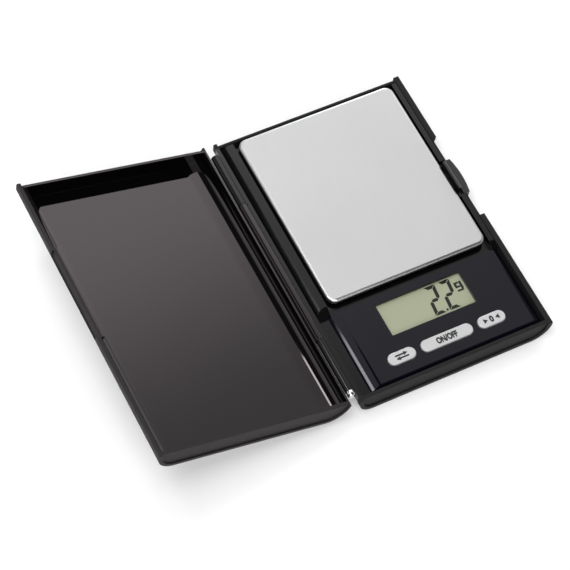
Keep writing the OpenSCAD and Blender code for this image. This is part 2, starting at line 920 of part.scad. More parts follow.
module platform_carrier() {
    carrier_gap = 0.1;
    edge_in = 0.3;
    color("#19191b")
    placed()
        difference() {
            union() {
                translate([top_x, plat_y, 0]) {
                    plate(z_plat - pan_h, z_carrier_top - z_plat + pan_h)
                        rounded_rect(plat_w - 2 * pan_t - 2 * carrier_gap,
                            plat_l - 2 * pan_t - 2 * carrier_gap, plat_r - pan_t - carrier_gap);
                    plate(z_carrier, z_plat - pan_h - z_carrier)
                        rounded_rect(plat_w - 2 * edge_in, plat_l - 2 * edge_in, plat_r);
                }
                block(top_x - beam_w / 2, top_x + beam_w / 2, beam_near, beam_near + pad_l,
                    z_beam_top, z_carrier + eps);
            }
            for (y = free_screws) {
                post(top_x, y, z_carrier_top - beam_head_t, body_w, beam_head_r + screw_clear);
                post(top_x, y, 0, body_w, beam_screw_r + screw_clear);
            }
        }
}

// Thumb tab, body plate, hook and sprung stem in one piece
module latch() {
    tab_r = ((tab_l / 2) * (tab_l / 2) + tab_crown * tab_crown) / (2 * tab_crown);
    tab_out = half_w + tab_proud;
    tab_root = 0.8;
    tab_lap = 1;
    nose_flat = 0.3;
    color("#1a1a1c")
    placed()
        translate([0, latch_y, 0]) {
            block(stem_in, tab_in + tab_lap, -stem_l / 2, stem_l / 2, z_latch, z_latch + latch_body_t);
            block(hook_x, tab_in + tab_lap, -tab_l / 2, tab_l / 2, z_latch, z_latch + latch_body_t);
            block(hook_x, hook_x + hook_t, -hook_l / 2, hook_l / 2, z_latch, z_nose + nose_h);
            // Nose of the hook, sloped above so that the shutting cover pushes it back
            translate([hook_x + hook_t - eps, hook_l / 2, 0])
                rotate([90, 0, 0])
                    linear_extrude(hook_l)
                        polygon([[0, z_nose], [nose, z_nose], [nose, z_nose + nose_flat],
                            [0, z_nose + nose_h]]);
            intersection() {
                union() {
                    block(tab_in, tab_out, -tab_l / 2, tab_l / 2, z_latch, z_tab_top);
                    block(half_w - tab_root, tab_out, -tab_l / 2, tab_l / 2,
                        z_part - recess_h + slide_clear, z_tab_top);
                }
                translate([tab_out - tab_r, 0, 0])
                    cylinder(h = body_w, r = tab_r, $fn = 256);
            }
            block(stem_in, stem_in + stem_t, -stem_l / 2, stem_l / 2, z_stem, z_latch + eps);
        }
}

module battery_door() {
    half = box_half - slide_clear;
    door_near = box_near + slide_clear;
    ridge_l = 12;
    ridge_w = 0.8;
    ridge_pitch = 1.6;
    ridge_deep = 0.3;
    ridge_start = 7.2;
    color("#161617")
    placed()
        difference() {
            union() {
                block(box_x - half, box_x + half, door_near, half_l, z_under, z_door_top);
                block(box_x - half - tongue_w, box_x + half + tongue_w, door_near, half_l,
                    z_door_top - tongue_t, z_door_top);
            }
            // Thumb ridges
            for (i = [0 : 4])
                translate([box_x, half_l - ridge_start - ridge_pitch * i, 0])
                    block(-ridge_l / 2, ridge_l / 2, -ridge_w, 0, 0, z_under + ridge_deep);
        }
}

// Cover half
module cover_skin() {
    difference() {
        along_y(-half_l, half_l)
            cover_section(0, cover_step, 0, cover_hinge_r, cover_free_r, z_cover_rim);
        along_y(-body_l, body_l)
            cover_section(cove_wall, cover_step + free_wall, roof_t, cove_r, cover_free_r - free_wall, 0);
        // Finger recess over the latch
        block(rib_in + rib_t, body_w, latch_y - recess_l / 2, latch_y + recess_l / 2,
            0, z_part + recess_h);
    }
}

// Section that fills the cover out to the middle of its walls
module cover_filling() {
    cover_section(cove_wall / 2, cover_step + free_wall / 2, roof_t / 2, cover_hinge_r - cove_wall / 2,
        cover_free_r - free_wall / 2, z_cover_rim);
}

module cover_ends() {
    for (span = end_spans)
        along_y(span[0], span[1])
            cover_filling();
}

// Rib behind the recess, with the slot that the hook's nose enters
module catch_rib() {
    side_room = 0.4;
    below = 0.15;
    above = 0.3;
    deep = 0.1;
    difference() {
        intersection() {
            block(rib_in, rib_in + rib_t, latch_y - recess_l / 2 - rib_extra,
                latch_y + recess_l / 2 + rib_extra, z_cover_rim, z_cover_top);
            along_y(-end_in, end_in)
                cover_filling();
        }
        block(rib_in - eps, rib_in + nose + deep, latch_y - hook_l / 2 - side_room,
            latch_y + hook_l / 2 + side_room, z_nose - below, z_nose + nose_h + above);
    }
}

module cover_shell() {
    color("#131314")
    placed()
        opened()
            difference() {
                union() {
                    cover_skin();
                    cover_ends();
                    catch_rib();
                    knuckle(split_near + knuckle_gap, split_far);
                    block(hinge_x, -web_in, split_near + knuckle_gap, split_far,
                        z_cover_rim, z_part + barrel_r);
                }
                knuckle_bore();
            }
}

base_shell();
top_housing();
display_panel();
lcd_glass();
zebra_strips();
circuit_board();
board_chips();
load_cell();
strain_gauges();
gauge_ribbon();
beam_screws();
coin_cells();
negative_contacts();
positive_contacts();
battery_leads();
case_screws();
foot_pads();
hinge_pin();
latch_spring();
unit_dome();
power_dome();
tare_dome();
unit_key();
power_key();
tare_key();
platform_plate();
platform_carrier();
carrier_screws();
latch();
battery_door();
cover_shell();
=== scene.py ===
# %% [markdown]
# # A digital pocket scale, opened flat
# The object is a clam-shell in black plastic. One half is an empty tray, the cover. The other
# half holds a stainless weighing plate and a dark panel with a small display and three keys.
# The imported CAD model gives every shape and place, and this lesson gives it finishes, fine
# detail, light and a camera. Nearly everything here is about reflections, because black gloss
# has hardly any colour of its own.

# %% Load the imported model
import math

import bmesh
import bpy
from mathutils import Euler, Matrix, Vector


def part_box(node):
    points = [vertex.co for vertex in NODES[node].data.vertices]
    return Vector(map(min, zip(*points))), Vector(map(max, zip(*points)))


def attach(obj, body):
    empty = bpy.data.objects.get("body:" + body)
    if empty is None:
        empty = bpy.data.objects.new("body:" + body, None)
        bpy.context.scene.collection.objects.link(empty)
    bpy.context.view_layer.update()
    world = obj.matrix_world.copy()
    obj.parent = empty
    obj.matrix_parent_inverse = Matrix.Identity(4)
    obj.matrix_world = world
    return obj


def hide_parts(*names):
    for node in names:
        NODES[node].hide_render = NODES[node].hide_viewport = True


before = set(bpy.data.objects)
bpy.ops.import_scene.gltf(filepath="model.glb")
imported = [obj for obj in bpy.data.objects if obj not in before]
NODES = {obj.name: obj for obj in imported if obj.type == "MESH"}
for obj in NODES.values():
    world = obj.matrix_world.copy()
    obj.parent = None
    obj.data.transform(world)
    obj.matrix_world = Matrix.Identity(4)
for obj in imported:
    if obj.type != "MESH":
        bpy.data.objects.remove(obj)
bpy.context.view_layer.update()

print("CAD nodes loaded:", len(NODES))

# %% [markdown]
# ## Three small tools
# Colours are written as the sRGB hex values that a paint chart or a photo editor shows, and one
# function turns them into the linear numbers that the renderer works with. A second one adds a
# node together with its settings and links. A third turns the size of a spot in millimetres into
# the scale of a noise texture, since the model is in metres.

# %% Colour, node and scale helpers
MM = 0.001


def colour(code):
    """Linear RGBA of an sRGB hex colour."""
    parts = [int(code[i:i + 2], 16) / 255 for i in (1, 3, 5)]
    linear = [c / 12.92 if c <= 0.04045 else ((c + 0.055) / 1.055) ** 2.4 for c in parts]
    return (*linear, 1.0)


def add(tree, kind, inputs=None, links=None, **settings):
    """Add one node with its settings, its input values and its incoming links."""
    node = tree.nodes.new(kind)
    for name, value in settings.items():
        setattr(node, name, value)
    for name, value in (inputs or {}).items():
        node.inputs[name].default_value = value
    for name, source in (links or {}).items():
        tree.links.new(source, node.inputs[name])
    return node


def spots(size_mm):
    """Noise scale whose spots are about that many millimetres across."""
    return 1 / (size_mm * MM)


print("gloss black as linear numbers:", [round(c, 4) for c in colour("#0b0b0c")[:3]])

# %% [markdown]
# ## The camera
# A product photographer stands well back with a long lens, so that the far edge of the object
# isn't much smaller than the near one. The place, turn and focal length were worked out from
# the two vanishing points of the case's straight edges. Sensor shift and depth of field stay off.

# %% Camera
camera_data = bpy.data.cameras.new("studio_camera")
camera_data.sensor_width = 36
camera_data.lens = 148.921
camera_data.clip_end = 20
camera = bpy.data.objects.new("studio_camera", camera_data)
camera.location = (-0.26679, -0.39458, 0.79038)
camera.rotation_euler = Euler([math.radians(a) for a in (30.74524, -4.39467, -26.82496)], "XYZ")
bpy.context.scene.collection.objects.link(camera)
bpy.context.scene.camera = camera
bpy.context.scene.view_settings.view_transform = "Standard"
print("camera is", round(camera.location.length, 3), "m from the object")

# %% [markdown]
# ## The table
# The scale lies on white acrylic sheet. Acrylic is smooth, so it keeps a faint mirror image
# under the dark edges as well as a soft shadow. For the camera and for mirrors a part of the
# sheet shows as plain white whatever light reaches it, which keeps the shadows as light as a
# white light table does.

# %% Table of white acrylic
TABLE_HALF = 2.0
HAZE_MM = 60
WHITE_SHARE = 0.25
table_mesh = bpy.data.meshes.new("table")
corners = [(x * TABLE_HALF, y * TABLE_HALF, 0) for x, y in ((-1, -1), (1, -1), (1, 1), (-1, 1))]
table_mesh.from_pydata(corners, [], [(0, 1, 2, 3)])
table = bpy.data.objects.new("table", table_mesh)
bpy.context.scene.collection.objects.link(table)

acrylic = bpy.data.materials.new("white_acrylic_sheet")
acrylic.use_nodes = True
tree = acrylic.node_tree
tree.nodes.clear()
place = add(tree, "ShaderNodeTexCoord")
haze = add(tree, "ShaderNodeTexNoise", {"Scale": spots(HAZE_MM), "Detail": 3.0},
           {"Vector": place.outputs["Object"]})
tone = add(tree, "ShaderNodeMix", None, {"Factor": haze.outputs["Fac"]}, data_type="RGBA")
tone.inputs["A"].default_value = colour("#fdfdfd")
tone.inputs["B"].default_value = colour("#ffffff")
gloss = add(tree, "ShaderNodeMapRange", {"To Min": 0.16, "To Max": 0.24},
            {"Value": haze.outputs["Fac"]})
sheet = add(tree, "ShaderNodeBsdfPrincipled", {"IOR": 1.49},
            {"Base Color": tone.outputs["Result"], "Roughness": gloss.outputs["Result"]})
ray = add(tree, "ShaderNodeLightPath")
seen = add(tree, "ShaderNodeMath", None,
           {0: ray.outputs["Is Camera Ray"], 1: ray.outputs["Is Glossy Ray"]}, operation="MAXIMUM")
share = add(tree, "ShaderNodeMath", {1: WHITE_SHARE}, {0: seen.outputs[0]}, operation="MULTIPLY")
white = add(tree, "ShaderNodeEmission", {"Strength": 1.0})
blend = add(tree, "ShaderNodeMixShader", None,
            {0: share.outputs[0], 1: sheet.outputs[0], 2: white.outputs[0]})
add(tree, "ShaderNodeOutputMaterial", None, {"Surface": blend.outputs[0]})
table_mesh.materials.append(acrylic)
print("table is", 2 * TABLE_HALF, "m wide")

# %% [markdown]
# ## The room
# Black gloss shows the room rather than itself. The ceiling of this studio is dark, so a
# flat gloss surface stays black. Behind the object hangs a wide screen of cloth that is bright
# at its low end and fades upwards: its mirror image is the smoky grey field in the cover. A
# card further to the left draws the soft line in the cover's cove and lights the left rim of
# the plate. Near the horizon the room is white, which is what a camera set low sees behind the
# object. All of it is painted on the world by direction.

# %% World with a fading screen
DARK_CEILING = 0.06
SCREEN_LOW_END = 2.2
SCREEN_HIGH_END = 0.8
SIDE_CARD = 1.1
LEAST_HEIGHT = 0.02
world = bpy.data.worlds.new("studio")
bpy.context.scene.world = world
world.use_nodes = True
tree = world.node_tree
tree.nodes.clear()
toward = add(tree, "ShaderNodeTexCoord")
axes = add(tree, "ShaderNodeSeparateXYZ", None, {"Vector": toward.outputs["Generated"]})
# How far a direction slopes sideways: 0 is straight up, less than 0 is to the left
up = add(tree, "ShaderNodeMath", {1: LEAST_HEIGHT}, {0: axes.outputs["Z"]}, operation="MAXIMUM")
across = add(tree, "ShaderNodeMath", None, {0: axes.outputs["X"], 1: up.outputs[0]},
             operation="DIVIDE")
# The screen is brightest where directions point furthest back, which is its low end
fade = add(tree, "ShaderNodeMapRange",
           {"From Min": 0.385, "From Max": 0.49, "To Min": SCREEN_HIGH_END, "To Max": SCREEN_LOW_END},
           {"Value": axes.outputs["Y"]}, interpolation_type="SMOOTHSTEP")
high_edge = add(tree, "ShaderNodeMapRange", {"From Min": 0.34, "From Max": 0.355},
                {"Value": axes.outputs["Y"]})
low_edge = add(tree, "ShaderNodeMapRange", {"From Min": 0.66, "From Max": 0.58},
               {"Value": axes.outputs["Y"]})
left_edge = add(tree, "ShaderNodeMapRange", {"From Min": -0.34, "From Max": -0.31},
                {"Value": across.outputs[0]})
right_edge = add(tree, "ShaderNodeMapRange", {"From Min": 3.4, "From Max": 2.4},
                 {"Value": across.outputs[0]})
screen = fade
for edge in (high_edge, low_edge, left_edge, right_edge):
    screen = add(tree, "ShaderNodeMath", None, {0: screen.outputs[0], 1: edge.outputs[0]},
                 operation="MULTIPLY")
card = add(tree, "ShaderNodeMapRange", {"From Min": -1.0, "From Max": -1.5, "To Max": SIDE_CARD},
           {"Value": across.outputs[0]})
for edge in (high_edge, low_edge):
    card = add(tree, "ShaderNodeMath", None, {0: card.outputs[0], 1: edge.outputs[0]},
               operation="MULTIPLY")
room = add(tree, "ShaderNodeMapRange",
           {"From Min": 0.40, "From Max": 0.16, "To Min": DARK_CEILING, "To Max": 1.0},
           {"Value": axes.outputs["Z"]}, interpolation_type="SMOOTHSTEP")
for bright in (screen, card):
    room = add(tree, "ShaderNodeMath", None, {0: room.outputs[0], 1: bright.outputs[0]},
               operation="MAXIMUM")
glow = add(tree, "ShaderNodeBackground", {"Color": colour("#ffffff")},
           {"Strength": room.outputs[0]})
add(tree, "ShaderNodeOutputWorld", None, {"Surface": glow.outputs[0]})
print("screen fades upwards from", SCREEN_LOW_END, "to", SCREEN_HIGH_END)

# %% [markdown]
# ## The lamps
# A strip softbox to the left draws the crisp white line at the near end of every rounded edge.
# It stops just where the mirror direction of the far end begins, so the line tapers off. Two
# broad softboxes, above and in front, are the main lights, and they leave only a short shadow.
# A low one behind on the right lifts the shadow to the left of the object. Each lamp is placed
# by the direction it shines from, since a reflection depends on that alone.

# %% Lamps
ALONG_HINGE = Vector((0, 1, 0))


def softbox(name, toward_lamp, distance, size, watts):
    """A rectangular area lamp that faces the object, its height in line with the hinge."""
    data = bpy.data.lights.new(name, "AREA")
    data.shape = "RECTANGLE"
    data.size = size[0]
    data.size_y = size[1]
    data.energy = watts
    lamp = bpy.data.objects.new(name, data)
    aim = Vector(toward_lamp).normalized()
    side = ALONG_HINGE.cross(aim).normalized()
    lamp.matrix_world = (Matrix.Translation(aim * distance)
                         @ Matrix((side, aim.cross(side), aim)).transposed().to_4x4())
    bpy.context.scene.collection.objects.link(lamp)
    return lamp


lamps = [softbox("strip_softbox", (-0.323, 0.30, 0.894), 1.4, (0.22, 0.224), 1.6),
         softbox("top_softbox", (-0.30, -0.05, 0.95), 1.5, (0.9, 0.8), 12),
         softbox("front_softbox", (-0.25, -0.75, 0.75), 1.7, (1.3, 1.1), 14),
         softbox("back_softbox", (0.55, 0.95, 0.40), 1.8, (0.9, 0.6), 8)]
for lamp in lamps:
    print(lamp.name, lamp.data.energy, "W at", [round(c, 2) for c in lamp.location])

# %% [markdown]
# ## Edges of moulded plastic
# No moulding has a knife edge: the tool is cut with a small radius, and that radius catches a
# line of light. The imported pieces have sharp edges. A few small ones are welded and given a
# narrow bevel wherever they turn by more than 35 degrees. The others, such as the two big
# shells, have too many fine facets for that, so they are only welded and shaded smooth up to
# 30 degrees, and the shells' finish rounds the edges in the shading. The display panel stays
# crisp from 12 degrees, because smooth shading across its long rolled facets would bend the
# reflections near their ends. These are modifiers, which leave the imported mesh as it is.

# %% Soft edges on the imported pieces
WELD_MM = 0.002
FLAT_WITHIN = 0.5
BEVEL_FROM = 35
SMOOTH_TO = 30
CRISP_FROM = 12


def weld_group(name, sharp_from=None):
    """Modifier tree that merges split corners and smooths, apart from edges above an angle."""
    group = bpy.data.node_groups.new(name, "GeometryNodeTree")
    group.interface.new_socket("Geometry", in_out="INPUT", socket_type="NodeSocketGeometry")
    group.interface.new_socket("Geometry", in_out="OUTPUT", socket_type="NodeSocketGeometry")
    start = add(group, "NodeGroupInput")
    merged = add(group, "GeometryNodeMergeByDistance", {"Distance": WELD_MM * MM},
                 {"Geometry": start.outputs[0]})
    shaded = add(group, "GeometryNodeSetShadeSmooth", None, {"Geometry": merged.outputs[0]})
    if sharp_from:
        turn = add(group, "GeometryNodeInputMeshEdgeAngle")
        sharp = add(group, "FunctionNodeCompare", {1: math.radians(sharp_from)},
                    {0: turn.outputs[0]}, data_type="FLOAT", operation="GREATER_THAN")
        shaded = add(group, "GeometryNodeSetShadeSmooth", {"Shade Smooth": False},
                     {"Geometry": shaded.outputs[0], "Selection": sharp.outputs[0]}, domain="EDGE")
    add(group, "NodeGroupOutput", None, {0: shaded.outputs[0]})
    return group


weld_all = weld_group("weld_and_smooth")
weld_sharp = weld_group("weld_and_smooth_to_30_degrees", SMOOTH_TO)
weld_crisp = weld_group("weld_and_smooth_to_12_degrees", CRISP_FROM)


def soften(name, width_mm):
    """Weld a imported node, bevel its sharp edges and weight its normals."""
    part = NODES[name]
    part.modifiers.new("weld_and_smooth", "NODES").node_group = weld_all
    flat = part.modifiers.new("merge_flats", "DECIMATE")
    flat.decimate_type = "DISSOLVE"
    flat.angle_limit = math.radians(FLAT_WITHIN)
    edge = part.modifiers.new("edge_radius", "BEVEL")
    edge.width = width_mm * MM
    edge.segments = 3
    edge.limit_method = "ANGLE"
    edge.angle_limit = math.radians(BEVEL_FROM)
    edge.use_clamp_overlap = True
    part.modifiers.new("face_weights", "WEIGHTED_NORMAL").keep_sharp = False


EDGE_RADIUS = {"latch": 0.2, "battery_door": 0.15, "foot_pads": 0.15, "hinge_pin": 0.08,
               "coin_cells": 0.15, "load_cell": 0.1}
REPLACED = ["platform_plate", "unit_key", "power_key", "tare_key", "case_screws", "beam_screws",
            "carrier_screws"]
for part_name, radius in EDGE_RADIUS.items():
    soften(part_name, radius)
for part_name, part in NODES.items():
    if part_name not in EDGE_RADIUS and part_name not in REPLACED:
        group = weld_crisp if part_name == "display_panel" else weld_sharp
        part.modifiers.new("weld_and_smooth", "NODES").node_group = group
        part.modifiers.new("face_weights", "WEIGHTED_NORMAL").keep_sharp = True
print("bevelled:", ", ".join(EDGE_RADIUS))

# %% [markdown]
# ## Moulded ABS
# The shells are ABS, injection moulded. Where the tool was polished like a mirror, as inside the
# cover, the eye gets a deep black with sharp reflections and a very slight waviness. Where the
# tool was left with a fine matt texture, as on the rims and the outside, the plastic spreads
# the white room into an even dark grey. One shell has both, so its finish takes a box, the
# polished zone, and changes its roughness at the border. Two close tones and patchy gloss keep
# it from looking like one flat colour. ABS has an index of about 1.54, and it is set lower where
# the object mirrors the room less than that.

# %% Finish: moulded ABS
ABS_INDEX = 1.54
MATT_TEXTURE = 0.7
SHADED_RADIUS = 0.15
CLOUD_MM = 14


def start_finish(name):
    """A material with an empty tree, and the object coordinates that its patterns use."""
    finish = bpy.data.materials.new(name)
    finish.use_nodes = True
    finish.node_tree.nodes.clear()
    coordinates = add(finish.node_tree, "ShaderNodeTexCoord")
    return finish, finish.node_tree, coordinates.outputs["Object"]


def toned(tree, at, dark, light, cloud_mm):
    """Two close tones, mixed by a soft cloud."""
    cloud = add(tree, "ShaderNodeTexNoise", {"Scale": spots(cloud_mm), "Detail": 4.0},
                {"Vector": at})
    tone = add(tree, "ShaderNodeMix", None, {"Factor": cloud.outputs["Fac"]}, data_type="RGBA")
    tone.inputs["A"].default_value = colour(dark)
    tone.inputs["B"].default_value = colour(light)
    return cloud.outputs["Fac"], tone.outputs["Result"]


def outside_box(tree, at, centre, half):
    """0 inside a box in x and y, 1 outside it, from its centre and half size in mm."""
    centred = add(tree, "ShaderNodeVectorMath", {1: (-centre[0] * MM, -centre[1] * MM, 0)},
                  {0: at}, operation="ADD")
    scaled = add(tree, "ShaderNodeVectorMath", {1: (spots(half[0]), spots(half[1]), 0)},
                 {0: centred.outputs[0]}, operation="MULTIPLY")
    size = add(tree, "ShaderNodeVectorMath", None, {0: scaled.outputs[0]}, operation="ABSOLUTE")
    sides = add(tree, "ShaderNodeSeparateXYZ", None, {0: size.outputs[0]})
    furthest = add(tree, "ShaderNodeMath", None, {0: sides.outputs[0], 1: sides.outputs[1]},
                   operation="MAXIMUM")
    border = add(tree, "ShaderNodeMapRange", {"From Min": 0.995, "From Max": 1.0},
                 {"Value": furthest.outputs[0]})
    return border.outputs[0]


def moulded(name, dark, light, roughness, wave_mm, depth_mm, ior=ABS_INDEX, polished=None,
            tint="#ffffff"):
    """Moulded plastic, with an optional polished zone (centre and half size in mm, in x and y)."""
    finish, tree, at = start_finish(name)
    cloud, tone = toned(tree, at, dark, light, CLOUD_MM)
    worn = add(tree, "ShaderNodeMapRange", {"From Min": 0.35, "From Max": 0.75}, {"Value": cloud})
    worn.inputs["To Min"].default_value = roughness[0]
    worn.inputs["To Max"].default_value = roughness[1]
    dullness = worn.outputs["Result"]
    if polished:
        textured = add(tree, "ShaderNodeMix", {3: MATT_TEXTURE},
                       {0: outside_box(tree, at, *polished), 2: dullness}, data_type="FLOAT")
        dullness = textured.outputs[0]
    rounded = add(tree, "ShaderNodeBevel", {"Radius": SHADED_RADIUS * MM}, samples=4)
    wave = add(tree, "ShaderNodeTexNoise", {"Scale": spots(wave_mm), "Detail": 2.0},
               {"Vector": at})
    relief = add(tree, "ShaderNodeBump", {"Strength": 1.0, "Distance": depth_mm * MM},
                 {"Height": wave.outputs["Fac"], "Normal": rounded.outputs[0]})
    shader = add(tree, "ShaderNodeBsdfPrincipled", {"IOR": ior, "Specular Tint": colour(tint)},
                 {"Base Color": tone, "Roughness": dullness, "Normal": relief.outputs["Normal"]})
    add(tree, "ShaderNodeOutputMaterial", None, {"Surface": shader.outputs["BSDF"]})
    return finish


def dress(finish, *names):
    """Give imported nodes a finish."""
    for name in names:
        NODES[name].data.materials.clear()
        NODES[name].data.materials.append(finish)


# Mirror polish all over the inside: a sharp picture of the room, with a trace of warmth
cover_abs = moulded("abs_mirror_and_satin_moulded_black_cover", "#040405", "#060607",
                    (0.03, 0.05), 9, 0.0006, polished=((-38.2, 0.4), (44.3, 61.8)),
                    tint="#fff2f5")
dress(cover_abs, "cover_shell")
# Polished only in a strip along the hinge: elsewhere an even, dull dark grey
base_abs = moulded("abs_mirror_and_satin_moulded_black_base", "#050506", "#070708",
                   (0.08, 0.14), 6, 0.0008, ior=1.40, polished=((0, 0), (5, 61.5)))
dress(base_abs, "base_shell")
# Half gloss: reflections keep their place and lose their edges
housing_abs = moulded("abs_satin_moulded_black", "#050506", "#070708", (0.14, 0.20), 3, 0.0008,
                      ior=1.36)
dress(housing_abs, "top_housing")
# Fine satin: a broad soft shine on the parts that a thumb moves
satin_abs = moulded("abs_fine_satin_moulded_black", "#060607", "#080809", (0.34, 0.44), 1.2, 0.002)
dress(satin_abs, "latch", "battery_door")
# Spark-eroded tool: an even matt black with a fine grain
matte_abs = moulded("abs_spark_textured_black", "#0e0e0f", "#161617", (0.55, 0.70), 0.4, 0.02)
dress(matte_abs, "platform_carrier", "zebra_strips")
for finish in (cover_abs, base_abs, housing_abs, satin_abs, matte_abs):
    print("moulded finish:", finish.name)

# %% [markdown]
# ## The display panel
# The panel is a separate moulding in a black with a little blue in it, polished all over. It
# reflects a little less than the cover, since its resin has a lower index.

# %% Finish: navy gloss ABS
panel_abs = moulded("abs_gloss_navy_black", "#06060f", "#080812", (0.04, 0.07), 8, 0.0005,
                    ior=1.40, tint="#fafaff")
dress(panel_abs, "display_panel")
print("panel finish:", panel_abs.name)

# %% [markdown]
# ## Metals, rubber, laminate and the rest
# The inner parts show when a reader takes the scale apart, and some show from below. One recipe
# serves them: two close tones, a grain that may be longer one way than another, a roughness
# that follows the grain, and a relief as deep as the real one. Metals are fully metallic and
# keep the default index; the others get their own.

# %% Finishes for metals and inner parts
RIM_ROUGHNESS = 0.3
finishes_before = len(bpy.data.materials)


def grained(name, dark, light, roughness, grain_mm, depth_mm, cloud_mm=9, rim=None, **inputs):
    """A finish with a grain of the given size in x, y and z, and an optional smoother rim."""
    finish, tree, at = start_finish(name)
    cloud, tone = toned(tree, at, dark, light, cloud_mm)
    stretched = add(tree, "ShaderNodeVectorMath", {1: tuple(spots(size) for size in grain_mm)},
                    {0: at}, operation="MULTIPLY")
    grain = add(tree, "ShaderNodeTexNoise", {"Scale": 1.0, "Detail": 3.0},
                {"Vector": stretched.outputs[0]})
    dull = add(tree, "ShaderNodeMapRange", {"From Min": 0.3, "From Max": 0.7},
               {"Value": grain.outputs["Fac"]})
    dull.inputs["To Min"].default_value = roughness[0]
    dull.inputs["To Max"].default_value = roughness[1]
    dullness = dull.outputs["Result"]
    if rim:
        burnished = add(tree, "ShaderNodeMix", {3: RIM_ROUGHNESS},
                        {0: outside_box(tree, at, *rim), 2: dullness}, data_type="FLOAT")
        dullness = burnished.outputs[0]
    relief = add(tree, "ShaderNodeBump", {"Strength": 1.0, "Distance": depth_mm * MM},
                 {"Height": grain.outputs["Fac"]})
    shader = add(tree, "ShaderNodeBsdfPrincipled", inputs,
                 {"Base Color": tone, "Roughness": dullness, "Normal": relief.outputs["Normal"]})
    add(tree, "ShaderNodeOutputMaterial", None, {"Surface": shader.outputs["BSDF"]})
    return finish


# Ground and polished: bright, with sharp reflections that are hardly broken up
polished_steel = grained("steel_ground_and_polished", "#cfd0d2", "#dfe0e1", (0.06, 0.12),
                         (0.5, 3, 0.5), 0.0003, Metallic=1.0)
dress(polished_steel, "hinge_pin")
# Milled: rows of fine tool marks across the beam give it a broken, directional shine
milled_aluminium = grained("aluminium_milled", "#b9bcbf", "#cbced0", (0.28, 0.42), (4, 0.3, 4),
                           0.002, Metallic=1.0)
dress(milled_aluminium, "load_cell")
# Deep drawn and nickel plated: soft, nearly even shine
nickel_steel = grained("steel_drawn_nickel_plated", "#c4c6ca", "#d2d4d7", (0.18, 0.28),
                       (1.5, 1.5, 1.5), 0.0008, Metallic=1.0)
dress(nickel_steel, "coin_cells")
# Rolled brass strip: warm, with fine lines along the strip
rolled_brass = grained("brass_rolled_strip", "#c4a45c", "#d6b973", (0.2, 0.3), (0.3, 3, 3), 0.0008,
                       Metallic=1.0)
dress(rolled_brass, "negative_contacts", "positive_contacts")
# Drawn wire: a slightly broken shine from the marks of the die
drawn_wire = grained("spring_steel_drawn_wire", "#a9acb0", "#c0c3c6", (0.2, 0.32),
                     (0.4, 0.4, 0.4), 0.0006, Metallic=1.0)
dress(drawn_wire, "latch_spring")
# Solder resist over glass weave: satin green with a faint woven grain
laminate = grained("laminate_with_solder_resist", "#184a2a", "#20603a", (0.3, 0.42),
                   (0.5, 0.5, 0.5), 0.004, IOR=1.55)
dress(laminate, "circuit_board")
# Potting compound: near black, dull and slightly pitted
epoxy = grained("epoxy_potted_black", "#0d0d0e", "#161617", (0.35, 0.55), (0.6, 0.6, 0.6), 0.01,
                IOR=1.5)
dress(epoxy, "board_chips")
# Etched foil on an amber film: warm, with a fine grain along the grid
foil = grained("polyimide_film_with_etched_foil", "#a8742a", "#c2904a", (0.25, 0.35),
               (0.2, 1.5, 1), 0.001, IOR=1.6)
dress(foil, "strain_gauges")
# Flat lead: pale film over darker conductors, so the grain is fine across and long along it
film = grained("polyester_film_flat_lead", "#a49f92", "#c6c2b5", (0.3, 0.45), (0.5, 8, 2), 0.002,
               IOR=1.57)
dress(film, "gauge_ribbon")
# Extruded sleeve: soft satin with a very faint ripple along the wire
sleeve = grained("pvc_extruded_red_sleeve", "#7a1714", "#93201c", (0.35, 0.45), (0.8, 4, 0.8),
                 0.002, IOR=1.53)
dress(sleeve, "battery_leads")
# Pressed silicone: matt grey, a little dusty
silicone = grained("silicone_pressed_grey", "#4c4e52", "#5c5e62", (0.5, 0.65), (0.7, 0.7, 0.7),
                   0.003, IOR=1.41)
dress(silicone, "unit_dome", "power_dome", "tare_dome")
# Moulded rubber: matt and slightly worn where it touches the table
rubber = grained("rubber_moulded_black", "#141414", "#202020", (0.65, 0.85), (0.5, 0.5, 0.5), 0.01,
                 IOR=1.52)
dress(rubber, "foot_pads")
print("inner finishes:", len(bpy.data.materials) - finishes_before)

# %% [markdown]
# ## The liquid crystal cell
# A reflective display is two sheets of glass between polarisers, with a pale reflector behind.
# It looks like grey-green card under a clear film: the colour comes from the reflector, and the
# film on top gives a faint sheen.

# %% Finish: polariser film over a reflector
FILM_GRIT_MM = 0.25
FILM_RELIEF_MM = 0.001
lcd_finish, tree, at = start_finish("polariser_film_over_reflector")
cloud, tone = toned(tree, at, "#969b80", "#9ba085", 12)
grit = add(tree, "ShaderNodeTexNoise", {"Scale": spots(FILM_GRIT_MM), "Detail": 2.0},
           {"Vector": at})
sparkle = add(tree, "ShaderNodeBump", {"Strength": 1.0, "Distance": FILM_RELIEF_MM * MM},
              {"Height": grit.outputs["Fac"]})
shader = add(tree, "ShaderNodeBsdfPrincipled",
             {"IOR": 1.5, "Roughness": 0.3, "Coat Weight": 0.4, "Coat Roughness": 0.08},
             {"Base Color": tone, "Normal": sparkle.outputs["Normal"]})
add(tree, "ShaderNodeOutputMaterial", None, {"Surface": shader.outputs["BSDF"]})
dress(lcd_finish, "lcd_glass")
print("display finish:", lcd_finish.name)

# %% [markdown]
# ## A loft
# A pressed plate, a key cap, a screw and a printed figure are all stacks of closed outlines. One
# helper skins such stacks: it joins ring to ring with quads and closes both ends, which gives
# clean edge loops without any modelling by hand. All lengths in it are in millimetres.

# %% Loft and outline helpers
LOFT_SHARP = 38
BRIM = 0.1


